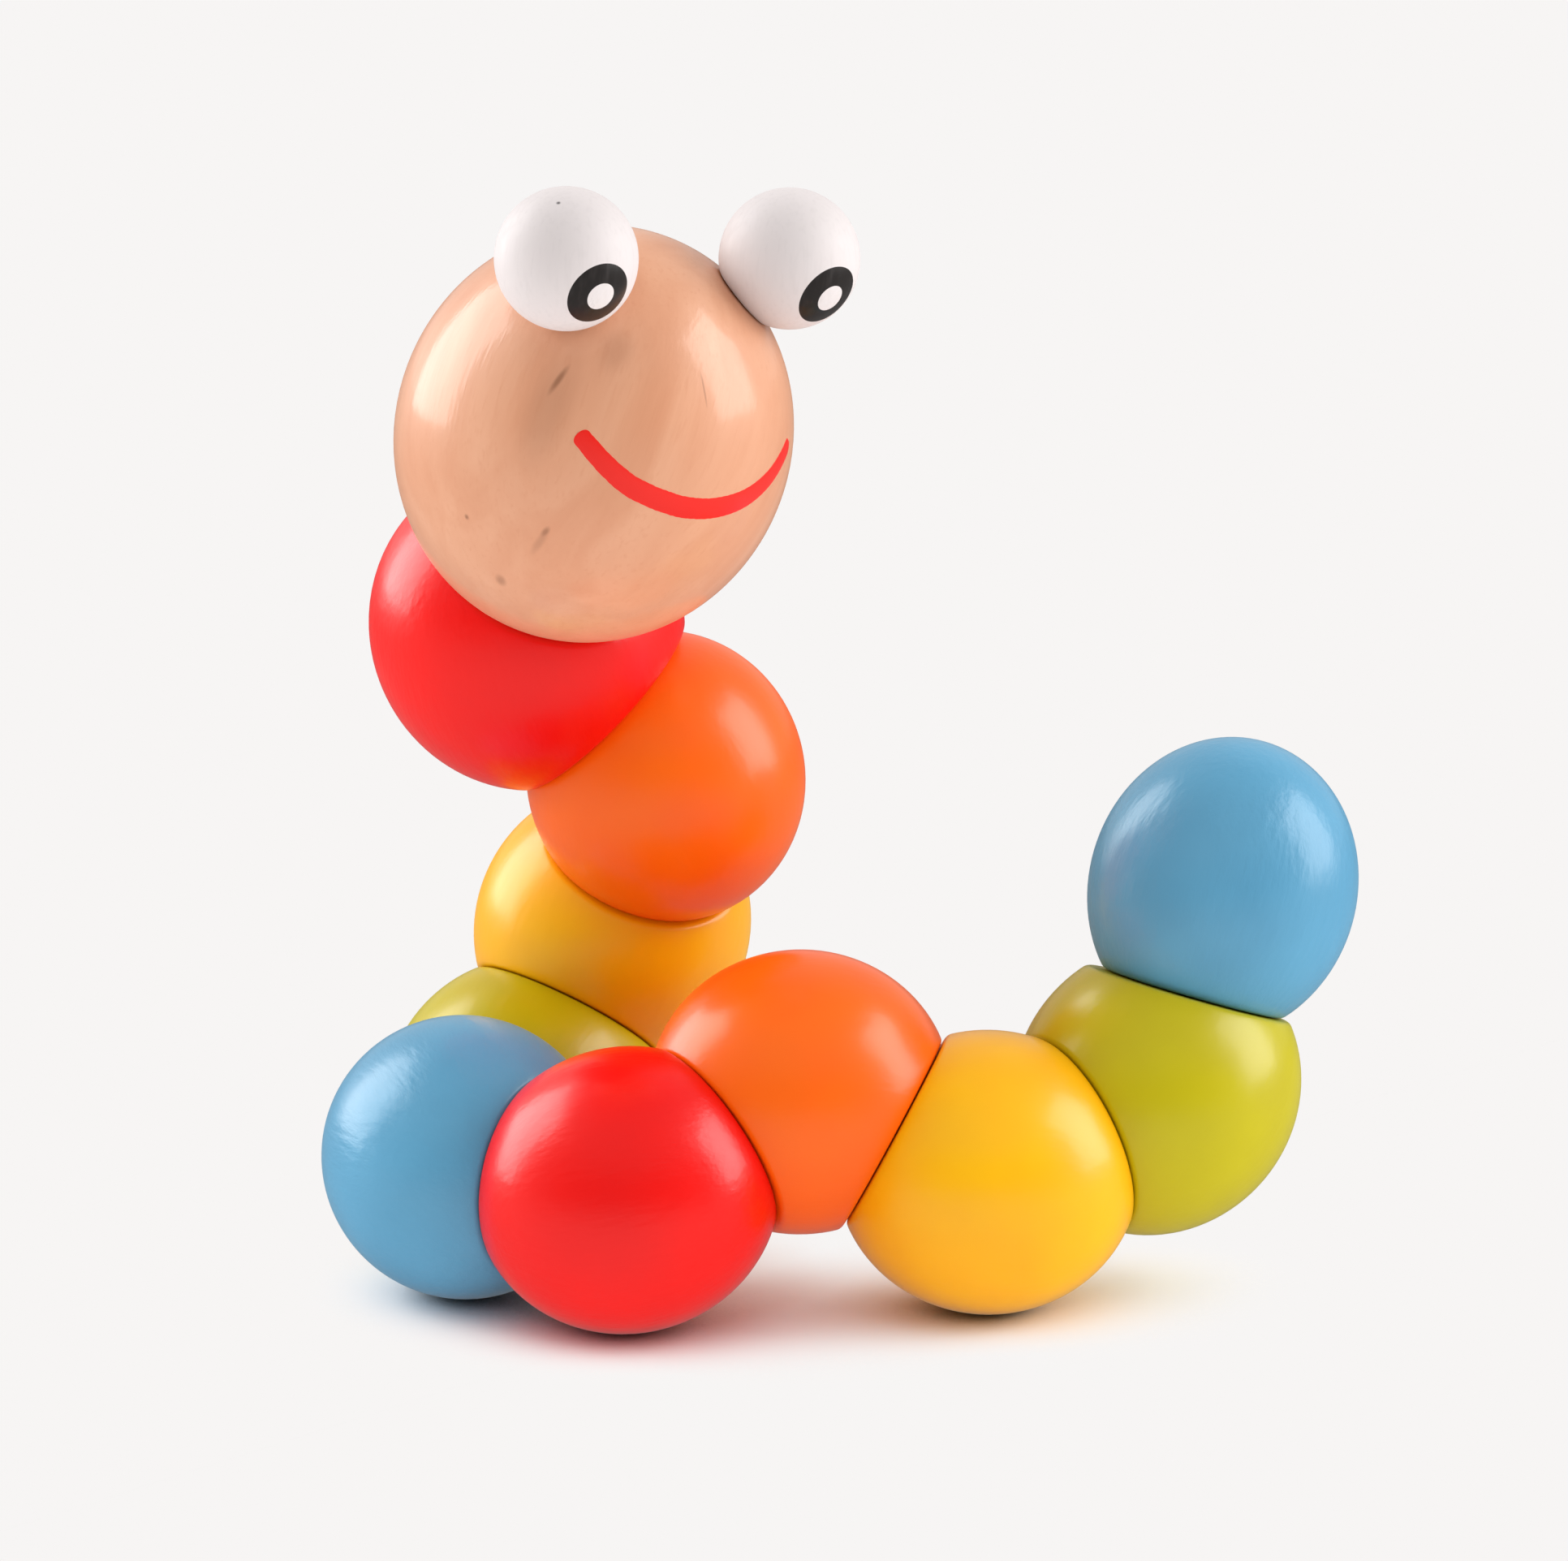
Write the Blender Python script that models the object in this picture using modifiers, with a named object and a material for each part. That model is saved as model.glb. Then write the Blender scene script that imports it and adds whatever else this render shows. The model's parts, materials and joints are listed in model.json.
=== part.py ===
"""Wooden inchworm toy: a ball head with two ball eyes, nine wedge-cut beads and a tail bead.

Neighbouring beads meet on flats and swivel on hidden snap-in pins. The worm is built in the pose in which
it stands, from the head down, each bead hung on the one before it. The face looks towards -Y and +X.
"""

from dataclasses import dataclass
from math import radians, sqrt

import bmesh
import bpy
from mathutils import Matrix, Vector

MM = 0.001

# Beads: turned balls, a little longer along the chain than across it, cut at a share of their half length
BEAD_RADIUS = 14.0 * MM
BEAD_STRETCH = 1.071
BEAD_FLAT_SHARE = 0.657
NECK_SCALE = 1.12
TAIL_SCALE = 0.952
TAIL_STRETCH = 1.134
TAIL_FLAT_SHARE = 0.715

# Head and face; the head is longer along its neck than across it
HEAD_RADIUS = 19.2 * MM
HEAD_STRETCH = 1.12
HEAD_FLAT_SHARE = 0.823
FACE_HEADING = radians(35.0)
FACE_ROLL = radians(6.0)
NECK_LEAN = radians(-38.7)
NECK_SIDE = radians(166.6)

# Eyes, lifted from the facing direction and split to both sides of it, not quite evenly
EYE_RADIUS = 6.8 * MM
EYE_SEAT_RADIUS = 3.8 * MM
EYE_LIFT = radians(55.6)
EYE_SPLIT_LEFT = radians(29.7)
EYE_SPLIT_RIGHT = radians(26.4)
DOWEL_RADIUS = 1.0 * MM
DOWEL_DEPTH = 4.0 * MM

# Flats and pivots
PIVOT_OFFSET = 1.0 * MM
PIN_RADIUS = 2.0 * MM
PIN_DEPTH = 6.0 * MM
PIN_CHAMFER = 0.4 * MM
RIDGE_HEIGHT = 0.5 * MM
RIDGE_WIDTH = 1.6 * MM
RIDGE_DEPTH = 3.4 * MM
FIT_GAP = 0.3 * MM

# Facets around a ball and around a pin
HEAD_FACETS = 36
BEAD_FACETS = 28
EYE_FACETS = 20
PIN_FACETS = 12

LACQUERED_WOOD = (0.69, 0.31, 0.18)
BARE_WOOD = (0.58, 0.38, 0.20)
RED = (0.83, 0.02, 0.01)
ORANGE = (0.98, 0.12, 0.003)
YELLOW = (0.95, 0.48, 0.003)
GREEN = (0.58, 0.50, 0.01)
BLUE = (0.13, 0.38, 0.58)
WHITE = (0.80, 0.78, 0.77)


@dataclass(frozen=True)
class BeadSize:
    """A turned ball of the chain: its radius across, its stretch along it and where its flats are cut."""

    radius: float
    stretch: float
    flat_share: float

    @property
    def half_length(self):
        """Half the ball's length along the chain, before its flats are cut."""
        return self.radius * self.stretch

    @property
    def flat(self):
        """Distance from the centre to a flat."""
        return self.half_length * self.flat_share


@dataclass(frozen=True)
class Bead:
    """A bead of the chain: the angle between its flats and its turn against the piece before it."""

    name: str
    colour: tuple
    size: BeadSize
    wedge: float
    turn: float


HEAD = BeadSize(HEAD_RADIUS, HEAD_STRETCH, HEAD_FLAT_SHARE)
NECK_BEAD = BeadSize(NECK_SCALE * BEAD_RADIUS, BEAD_STRETCH, BEAD_FLAT_SHARE)
BODY_BEAD = BeadSize(BEAD_RADIUS, BEAD_STRETCH, BEAD_FLAT_SHARE)
TAIL_BEAD = BeadSize(TAIL_SCALE * BEAD_RADIUS, TAIL_STRETCH, TAIL_FLAT_SHARE)

BEADS = (
    Bead("seg_01_red", RED, NECK_BEAD, wedge=radians(67), turn=radians(-124.9)),
    Bead("seg_02_orange", ORANGE, BODY_BEAD, wedge=radians(66), turn=radians(170)),
    Bead("seg_03_yellow", YELLOW, BODY_BEAD, wedge=radians(50), turn=radians(-87)),
    Bead("seg_04_green", GREEN, BODY_BEAD, wedge=radians(61), turn=radians(9)),
    Bead("seg_05_blue", BLUE, BODY_BEAD, wedge=radians(73), turn=radians(-72)),
    Bead("seg_06_red", RED, BODY_BEAD, wedge=radians(67), turn=radians(31)),
    Bead("seg_07_orange", ORANGE, BODY_BEAD, wedge=radians(64), turn=radians(-140)),
    Bead("seg_08_yellow", YELLOW, BODY_BEAD, wedge=radians(57), turn=radians(174)),
    Bead("seg_09_green", GREEN, BODY_BEAD, wedge=radians(53.6), turn=radians(36.9)),
    Bead("seg_10_blue", BLUE, TAIL_BEAD, wedge=0.0, turn=0.0),
)
ROOT = 5


def new_collection(name):
    """A collection under the scene."""
    collection = bpy.data.collections.new(name)
    bpy.context.scene.collection.children.link(collection)
    return collection


def clear_scene():
    """Removes whatever the scene holds."""
    for item in list(bpy.data.objects):
        bpy.data.objects.remove(item, do_unlink=True)


def paint(name, colour, roughness):
    """A plain painted or lacquered surface."""
    material = bpy.data.materials.new(name)
    material.use_nodes = True
    shader = material.node_tree.nodes["Principled BSDF"]
    shader.inputs["Base Color"].default_value = (*colour, 1.0)
    shader.inputs["Roughness"].default_value = roughness
    shader.inputs["Metallic"].default_value = 0.0
    return material


def ball(name, collection, radii, facets):
    """A ball or spheroid round its own origin, with its poles on Z."""
    mesh = bpy.data.meshes.new(name)
    shape = bmesh.new()
    bmesh.ops.create_uvsphere(shape, u_segments=facets, v_segments=facets // 2, radius=1.0)
    bmesh.ops.scale(shape, vec=radii, verts=shape.verts)
    shape.to_mesh(mesh)
    shape.free()
    item = bpy.data.objects.new(name, mesh)
    collection.objects.link(item)
    return item


def turned(name, collection, profile, facets):
    """A solid turned about Z from a profile of (radius, height) points that runs from the top down."""
    mesh = bpy.data.meshes.new(name)
    mesh.from_pydata([(r, 0.0, z) for r, z in profile], [(i, i + 1) for i in range(len(profile) - 1)], [])
    item = bpy.data.objects.new(name, mesh)
    collection.objects.link(item)
    screw = item.modifiers.new("Turn", "SCREW")
    screw.steps = facets
    screw.render_steps = facets
    screw.use_merge_vertices = True
    screw.merge_threshold = 0.00001
    return item


def ridge_profile(radius, height, width):
    """The snap ridge, or its groove, as profile points from its upper to its lower foot."""
    crest = 0.25 * width
    return [
        (radius, RIDGE_DEPTH + width / 2),
        (radius + height, RIDGE_DEPTH + crest),
        (radius + height, RIDGE_DEPTH - crest),
        (radius, RIDGE_DEPTH - width / 2),
    ]


def pin_profile():
    """The pivot pin about its joint's axis: journal with snap ridge above, plain shank below."""
    return [
        (0.0, PIN_DEPTH),
        (PIN_RADIUS - PIN_CHAMFER, PIN_DEPTH),
        (PIN_RADIUS, PIN_DEPTH - PIN_CHAMFER),
        *ridge_profile(PIN_RADIUS, RIDGE_HEIGHT, RIDGE_WIDTH),
        (PIN_RADIUS, -PIN_DEPTH + PIN_CHAMFER),
        (PIN_RADIUS - PIN_CHAMFER, -PIN_DEPTH),
        (0.0, -PIN_DEPTH),
    ]


def far_cut_profile(reach):
    """Cuts a bead's flat towards the tail and the plain bore in which the pin is glued."""
    bore = PIN_RADIUS + FIT_GAP
    face = -FIT_GAP / 2
    return [
        (0.0, reach),
        (reach, reach),
        (reach, face),
        (bore, face),
        (bore, -PIN_DEPTH - FIT_GAP),
        (0.0, -PIN_DEPTH - FIT_GAP),
    ]


def near_cut_profile(reach):
    """Cuts a bead's flat towards the head and the grooved bore in which the pin turns."""
    bore = PIN_RADIUS + FIT_GAP
    face = FIT_GAP / 2
    return [
        (0.0, PIN_DEPTH + FIT_GAP),
        (bore, PIN_DEPTH + FIT_GAP),
        *ridge_profile(bore, RIDGE_HEIGHT, RIDGE_WIDTH + 2 * FIT_GAP),
        (bore, face),
        (reach, face),
        (reach, -reach),
        (0.0, -reach),
    ]


def seat_cut_profile():
    """Cuts an eye's seat, with the dowel's bore below it."""
    bore = DOWEL_RADIUS + FIT_GAP
    return [
        (0.0, EYE_RADIUS),
        (EYE_RADIUS, EYE_RADIUS),
        (EYE_RADIUS, 0.0),
        (bore, 0.0),
        (bore, -DOWEL_DEPTH - FIT_GAP),
        (0.0, -DOWEL_DEPTH - FIT_GAP),
    ]


def along(axis, across, origin):
    """A frame with its Z on the axis, its X across it and its origin as given."""
    side = axis.cross(across)
    frame = Matrix((across, side, axis)).transposed().to_4x4()
    frame.translation = origin
    return frame


def bead_joints(bead):
    """The joint frames at a bead's two flats, in the bead's frame: thin side +X, chain along Z.

    Each frame lies in the middle of the seam, on the pivot, with its Z towards the tail.
    """
    reach = bead.size.flat + FIT_GAP / 2
    half = Matrix.Rotation(bead.wedge / 2, 3, "Y")
    far_axis = half @ Vector((0, 0, 1))
    far_side = half @ Vector((1, 0, 0))
    near_axis = half.inverted() @ Vector((0, 0, 1))
    near_side = half.inverted() @ Vector((1, 0, 0))
    offset = PIVOT_OFFSET if bead.wedge else 0.0
    near = along(near_axis, near_side, -reach * near_axis - offset * near_side)
    far = along(far_axis, far_side, reach * far_axis - offset * far_side)
    return near, far


def chain_frames():
    """Frames of face, head, beads and joints, round the head's centre but turned as in the world.

    The face has its right on X, looks along -Y and has its up on Z. The head's Z runs down the neck.
    """
    face = Matrix.Rotation(FACE_HEADING, 4, "Z") @ Matrix.Rotation(FACE_ROLL, 4, "Y")
    head = face @ Matrix.Rotation(NECK_SIDE, 4, "Y") @ Matrix.Rotation(NECK_LEAN, 4, "X")
    joint = head @ Matrix.Translation((0, 0, HEAD.flat + FIT_GAP / 2))
    beads, joints = [], []
    for bead in BEADS:
        near, far = bead_joints(bead)
        joints.append(joint)
        place = joint @ Matrix.Rotation(bead.turn, 4, "Z") @ near.inverted()
        beads.append(place)
        joint = place @ far
    return face, head, beads, joints


def eye_frames(face, head):
    """Frames on the head's two eye seats, each with its Z outwards."""
    ball = head.to_3x3() @ Matrix.Diagonal((HEAD.radius, HEAD.radius, HEAD.half_length))
    depth = (EYE_SEAT_RADIUS + FIT_GAP) ** 2 / (2 * HEAD.radius)
    frames = []
    for split in (-EYE_SPLIT_LEFT, EYE_SPLIT_RIGHT):
        turn = Matrix.Rotation(-EYE_LIFT, 3, "X") @ Matrix.Rotation(split, 3, "Z")
        unit = (ball.inverted() @ face.to_3x3() @ turn @ Vector((0, -1, 0))).normalized()
        outwards = (ball.inverted().transposed() @ unit).normalized()
        frames.append(along(outwards, outwards.orthogonal().normalized(), ball @ unit - depth * outwards))
    return frames


def eye_rise():
    """Height of an eye's centre over its seat."""
    return sqrt(EYE_RADIUS**2 - EYE_SEAT_RADIUS**2) + FIT_GAP


def reach_of(place, size):
    """Half the extent along X, Y and Z of a spheroid in the given frame."""
    axes = Vector((size.radius, size.radius, size.half_length))
    rows = place.to_3x3()
    return Vector([sqrt(sum((rows[i][j] * axes[j]) ** 2 for j in range(3))) for i in range(3)])


def standing_offset(head, beads, eyes):
    """Moves the worm so that its box stands with the middle of its foot on the origin."""
    boxes = [(place.translation, reach_of(place, bead.size)) for place, bead in zip(beads, BEADS)]
    boxes.append((head.translation, reach_of(head, HEAD)))
    boxes += [(eye.translation, Vector([EYE_RADIUS] * 3)) for eye in eyes]
    low = Vector([min(c[i] - r[i] for c, r in boxes) for i in range(3)])
    high = Vector([max(c[i] + r[i] for c, r in boxes) for i in range(3)])
    middle = (low + high) / 2
    return Matrix.Translation((-middle.x, -middle.y, -low.z))


def cut(item, cutter):
    """Takes the cutter's shape out of a piece."""
    cutter.hide_render = True
    cutter.display_type = "WIRE"
    boolean = item.modifiers.new("Cut " + cutter.name, "BOOLEAN")
    boolean.operation = "DIFFERENCE"
    boolean.solver = "EXACT"
    boolean.object = cutter


def place_at(item, frame, pivot):
    """Places a piece modelled round its centre, with its origin on a pivot given in the world."""
    item.data.transform(Matrix.Translation(frame.inverted() @ pivot).inverted())
    item.matrix_world = frame @ Matrix.Translation(frame.inverted() @ pivot)


def finish(item, material):
    """Gives a piece its surface."""
    item.data.materials.append(material)
    item.data.shade_smooth()


def build_head(parts, cutters, head, joint, eyes, material):
    """The head ball with its neck flat and the two eye seats."""
    item = ball("head", parts, (HEAD.radius, HEAD.radius, HEAD.half_length), HEAD_FACETS)
    place_at(item, head, joint.translation)
    neck = turned("cut_head_neck", cutters, far_cut_profile(HEAD.radius), PIN_FACETS)
    neck.matrix_world = joint
    cut(item, neck)
    for side, frame in zip(("left", "right"), eyes):
        seat = turned("cut_head_seat_" + side, cutters, seat_cut_profile(), EYE_FACETS)
        seat.matrix_world = frame
        cut(item, seat)
    finish(item, material)


def build_eye(parts, cutters, side, frame, material, dowel_material):
    """One eye ball, flattened where it sits, and the dowel that holds it."""
    item = ball("eye_" + side, parts, [EYE_RADIUS] * 3, EYE_FACETS)
    item.matrix_world = frame @ Matrix.Translation((0, 0, eye_rise()))
    seat = turned("cut_eye_" + side, cutters, seat_cut_profile(), PIN_FACETS)
    seat.matrix_world = frame @ Matrix.Translation((0, 0, FIT_GAP)) @ Matrix.Rotation(radians(180), 4, "X")
    cut(item, seat)
    finish(item, material)
    middle = FIT_GAP / 2
    profile = [
        (0.0, middle + DOWEL_DEPTH),
        (DOWEL_RADIUS, middle + DOWEL_DEPTH),
        (DOWEL_RADIUS, middle - DOWEL_DEPTH),
        (0.0, middle - DOWEL_DEPTH),
    ]
    dowel = turned("dowel_" + side, parts, profile, PIN_FACETS)
    dowel.matrix_world = frame
    finish(dowel, dowel_material)


def build_bead(parts, cutters, index, place, joints, material):
    """One bead with its flats and bores, its origin on the pivot towards the root bead."""
    bead = BEADS[index]
    item = ball(bead.name, parts, (bead.size.radius, bead.size.radius, bead.size.half_length), BEAD_FACETS)
    pivot = place if index == ROOT else joints[index + 1] if index < ROOT else joints[index]
    place_at(item, place, pivot.translation)
    near = turned("cut_near_" + bead.name, cutters, near_cut_profile(2 * bead.size.half_length), PIN_FACETS)
    near.matrix_world = joints[index]
    cut(item, near)
    if index + 1 < len(joints):
        far = turned("cut_far_" + bead.name, cutters, far_cut_profile(2 * bead.size.half_length), PIN_FACETS)
        far.matrix_world = joints[index + 1]
        cut(item, far)
    finish(item, material)
    return item


def build():
    """Models the whole worm."""
    clear_scene()
    parts = new_collection("wooden_inchworm")
    cutters = new_collection("cutters")
    face, head, beads, joints = chain_frames()
    eyes = eye_frames(face, head)
    eye_centres = [eye @ Matrix.Translation((0, 0, eye_rise())) for eye in eyes]
    stand = standing_offset(head, beads, eye_centres)
    head = stand @ head
    beads = [stand @ place for place in beads]
    joints = [stand @ joint for joint in joints]
    eyes = [stand @ eye for eye in eyes]

    build_head(parts, cutters, head, joints[0], eyes, paint("lacquered_wood", LACQUERED_WOOD, 0.25))
    white = paint("white_paint", WHITE, 0.3)
    bare = paint("bare_wood", BARE_WOOD, 0.6)
    for side, frame in zip(("left", "right"), eyes):
        build_eye(parts, cutters, side, frame, white, bare)
    for index, bead in enumerate(BEADS):
        build_bead(parts, cutters, index, beads[index], joints, paint("paint_" + bead.name, bead.colour, 0.3))
    for number, joint in enumerate(joints, start=1):
        pin = turned("pin_%02d" % number, parts, pin_profile(), PIN_FACETS)
        pin.matrix_world = joint
        finish(pin, bare)


build()
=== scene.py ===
"""Wooden inchworm toy in a studio: painted beads on swivels, a lacquered ball head and a painted face.

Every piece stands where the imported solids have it. The frames of the beads come from the swivels.
"""

import json
import logging
import math
from collections.abc import Callable, Iterator, Sequence
from contextlib import contextmanager
from dataclasses import dataclass
from enum import Enum
from typing import Any

import bmesh
import bpy
from bpy.types import Material, Modifier, Node, NodeSocket, NodeTree, Object
from mathutils import Matrix, Quaternion, Vector


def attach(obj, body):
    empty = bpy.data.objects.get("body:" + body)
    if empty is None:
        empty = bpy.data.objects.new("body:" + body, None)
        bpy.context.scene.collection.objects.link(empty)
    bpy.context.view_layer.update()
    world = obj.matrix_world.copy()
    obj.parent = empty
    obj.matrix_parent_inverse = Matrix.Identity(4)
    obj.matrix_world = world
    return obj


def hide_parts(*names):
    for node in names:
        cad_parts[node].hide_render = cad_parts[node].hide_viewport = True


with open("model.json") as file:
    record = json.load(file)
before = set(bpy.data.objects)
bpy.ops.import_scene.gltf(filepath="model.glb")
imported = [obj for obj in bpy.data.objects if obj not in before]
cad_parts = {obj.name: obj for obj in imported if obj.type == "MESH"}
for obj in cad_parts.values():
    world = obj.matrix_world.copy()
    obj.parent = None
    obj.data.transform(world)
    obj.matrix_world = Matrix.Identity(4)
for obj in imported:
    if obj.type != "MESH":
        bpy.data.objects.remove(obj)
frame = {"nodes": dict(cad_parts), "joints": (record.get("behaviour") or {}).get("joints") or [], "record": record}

log = logging.getLogger("inchworm")

Pair = tuple[float, float]
Triple = tuple[float, float, float]
Sockets = dict[str | int, Any]

MM = 0.001
UP = Vector((0, 0, 1))

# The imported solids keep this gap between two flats; the visible seam is narrower.
FIT_GAP = 0.3 * MM
SEAM = 0.14 * MM

# A pivot lies this far to the side of the bead's middle.
PIVOT_OFFSET = 1.0 * MM

# Radii and depths of the bores for the pins and the dowels.
SHANK_BORE = 2.3 * MM
JOURNAL_BORE = 2.9 * MM
PIN_DEPTH = 6.3 * MM
DOWEL_BORE = 1.3 * MM
DOWEL_DEPTH_EYE = 4.6 * MM
DOWEL_DEPTH_HEAD = 4.5 * MM

# The bit's facets, and a small turn about its axis that keeps its edges off those of a flat.
BIT_FACETS = 32
BIT_TURN = math.radians(0.8)

# Facets deeper than the lip and within the margin of a bore's radius and depth belong to the bore.
BORE_LIP = 0.02 * MM
BORE_MARGIN = 1.05

# Places on a ball of radius 1 this near are one place, and places this near a cut lie on it.
SAME_PLACE = 1e-5
CUT_REACH = 1e-6

# The rounding of a rim: its steps, and how many times its reach is kept free of other edges.
RIM_STEPS = 5
RIM_ROOM = 1.5

# The neck bead is larger than the others; the tail bead is slimmer, longer for its width and cut less.
NECK_SCALE = 1.12
TAIL_SCALE = 0.952
TAIL_STRETCH = 1.134
TAIL_FLAT_SHARE = 0.715

# Settings and colour sockets that several nodes share.
SOFT_STEP = {"interpolation_type": "SMOOTHSTEP"}
COLOUR_MIX = {"data_type": "RGBA"}
MIX_A = 6
MIX_B = 7
MIX_RESULT = 2


def linear(code: str) -> tuple[float, float, float, float]:
    """Turns an sRGB hex code into a linear colour.

    Args:
        code: Six hex digits, red first.

    Returns:
        Red, green, blue and an alpha of 1.
    """
    shares = [int(code[i : i + 2], 16) / 255 for i in (0, 2, 4)]
    red, green, blue = [s / 12.92 if s <= 0.04045 else ((s + 0.055) / 1.055) ** 2.4 for s in shares]
    return red, green, blue, 1.0


def fill_sockets(tree: NodeTree, node: Node, inputs: Sockets) -> None:
    """Fills a node's sockets.

    Args:
        tree: The node's tree.
        node: The node.
        inputs: Values, outputs, or nodes for their first output, by the socket's name or number.
    """
    for key, value in inputs.items():
        source = value.outputs[0] if isinstance(value, Node) else value
        if isinstance(source, NodeSocket):
            tree.links.new(source, node.inputs[key])
        else:
            node.inputs[key].default_value = source


def span(end: str, values: Pair) -> dict[str, float]:
    """Names two values for the From or To sockets of a range."""
    return {f"{end} Min": values[0], f"{end} Max": values[1]}


def add_node(
    tree: NodeTree, kind: str, settings: dict[str, Any] | None = None, inputs: Sockets | None = None
) -> Node:
    """Adds a node with its settings and fills its sockets.

    Args:
        tree: The node tree that gets the node.
        kind: The node's type name, after ShaderNode.
        settings: Properties of the node.
        inputs: What fills its sockets.

    Returns:
        The new node.
    """
    node = tree.nodes.new("ShaderNode" + kind)
    for key, value in (settings or {}).items():
        setattr(node, key, value)
    fill_sockets(tree, node, inputs or {})
    return node


def new_material(name: str) -> tuple[Material, NodeTree, Node]:
    """Makes an empty node material.

    Args:
        name: The material's name.

    Returns:
        The material, its tree and its Principled shader, joined to the output.
    """
    material = bpy.data.materials.new(name)
    material.use_nodes = True
    tree = material.node_tree
    tree.nodes.clear()
    shader = add_node(tree, "BsdfPrincipled")
    add_node(tree, "OutputMaterial", inputs={"Surface": shader})
    return material, tree, shader


def own_frame(tree: NodeTree, place: Matrix, unit: Triple = (MM, MM, MM)) -> NodeSocket:
    """Gives a material the coordinates of a frame of its own.

    Args:
        tree: The material's tree.
        place: The frame in the world.
        unit: Length of one unit along each axis of the frame.

    Returns:
        The socket with the coordinates.
    """
    coords = add_node(tree, "TexCoord").outputs["Object"]
    axes = {"Location": place.translation, "Rotation": place.to_euler(), "Scale": unit}
    return add_node(tree, "Mapping", {"vector_type": "TEXTURE"}, {"Vector": coords} | axes).outputs[0]


def streaks(
    tree: NodeTree, local: NodeSocket, pitch: float, run: float, detail: float = 2.0, waver: float = 0.0
) -> NodeSocket:
    """Draws a pattern that runs along Z, as grain, pores and brush marks do.

    Args:
        tree: The material's tree.
        local: Coordinates in millimetres.
        pitch: Size across the run, in millimetres.
        run: Size along the run, in millimetres; the same as the pitch gives even blotches.
        detail: Levels of finer pattern on top.
        waver: How far the run strays from straight, as a share of the pitch.

    Returns:
        The socket with the pattern, between 0 and 1.
    """
    scale = (1 / pitch, 1 / pitch, 1 / run)
    drawn = add_node(tree, "Mapping", inputs={"Vector": local, "Scale": scale})
    inputs = {"Vector": drawn, "Scale": 1.0, "Detail": detail, "Distortion": waver}
    return add_node(tree, "TexNoise", inputs=inputs).outputs["Fac"]


def turn_to(towards: Vector) -> Matrix:
    """Gives the turn that takes Z to a direction."""
    return UP.rotation_difference(towards).to_matrix().to_4x4()


def aim(lateral: float, lift: float) -> Vector:
    """Gives a direction in the face's frame.

    Args:
        lateral: Degrees right of straight ahead.
        lift: Degrees above straight ahead.

    Returns:
        The direction, with right on X, ahead on -Y and up on Z.
    """
    turn = Matrix.Rotation(math.radians(lateral), 3, "Z") @ Matrix.Rotation(math.radians(-lift), 3, "X")
    return turn @ Vector((0, -1, 0))


def spot_on(ball: Matrix, face: Matrix, towards: Vector) -> Matrix:
    """Finds the place on a ball or stretched ball that lies in a direction from its middle.

    Args:
        ball: Turns a ball of radius 1 into the shape.
        face: Frame of the face.
        towards: The direction, in the face's frame.

    Returns:
        A frame on the surface, with -Y outwards and Z up along the surface.
    """
    shape = ball.to_3x3()
    unit = (shape.inverted() @ face.to_3x3() @ towards).normalized()
    inwards = -(shape.inverted().transposed() @ unit).normalized()
    right = inwards.cross(face.to_3x3() @ UP).normalized()
    place = Matrix((right, inwards, right.cross(inwards))).transposed().to_4x4()
    place.translation = ball @ unit
    return place


@dataclass(frozen=True)
class Mark:
    """A dark fleck in wood or paint, as a soft spot round a point of the surface.

    It lies some degrees right of and above straight ahead. Its size is in millimetres, its tilt in degrees.
    The core is the share of it that doesn't fade.
    """

    lateral: float
    lift: float
    width: float
    length: float
    tilt: float
    strength: float
    core: float = 0.15

    def draw(self, tree: NodeTree, colour: NodeSocket, tint: str, ball: Matrix, face: Matrix) -> NodeSocket:
        """Draws the mark over a colour, so that it fades out from its middle.

        Args:
            tree: The material's tree.
            colour: The colour under the mark.
            tint: Hex code of the mark's own colour.
            ball: Turns a ball of radius 1 into the marked shape.
            face: Frame of the face.

        Returns:
            The socket with the marked colour.
        """
        lean = Matrix.Rotation(math.radians(self.tilt), 4, "Y")
        place = spot_on(ball, face, aim(self.lateral, self.lift)) @ lean
        local = own_frame(tree, place, (self.width * MM, self.width * MM, self.length * MM))
        reach = add_node(tree, "VectorMath", {"operation": "LENGTH"}, {0: local}).outputs["Value"]
        ends = span("From", (self.core, 1.0)) | span("To", (self.strength, 0.0))
        mask = add_node(tree, "MapRange", SOFT_STEP, {"Value": reach} | ends)
        mixed = {"Factor": mask, MIX_A: colour, MIX_B: linear(tint)}
        return add_node(tree, "Mix", COLOUR_MIX, mixed).outputs[MIX_RESULT]


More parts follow.
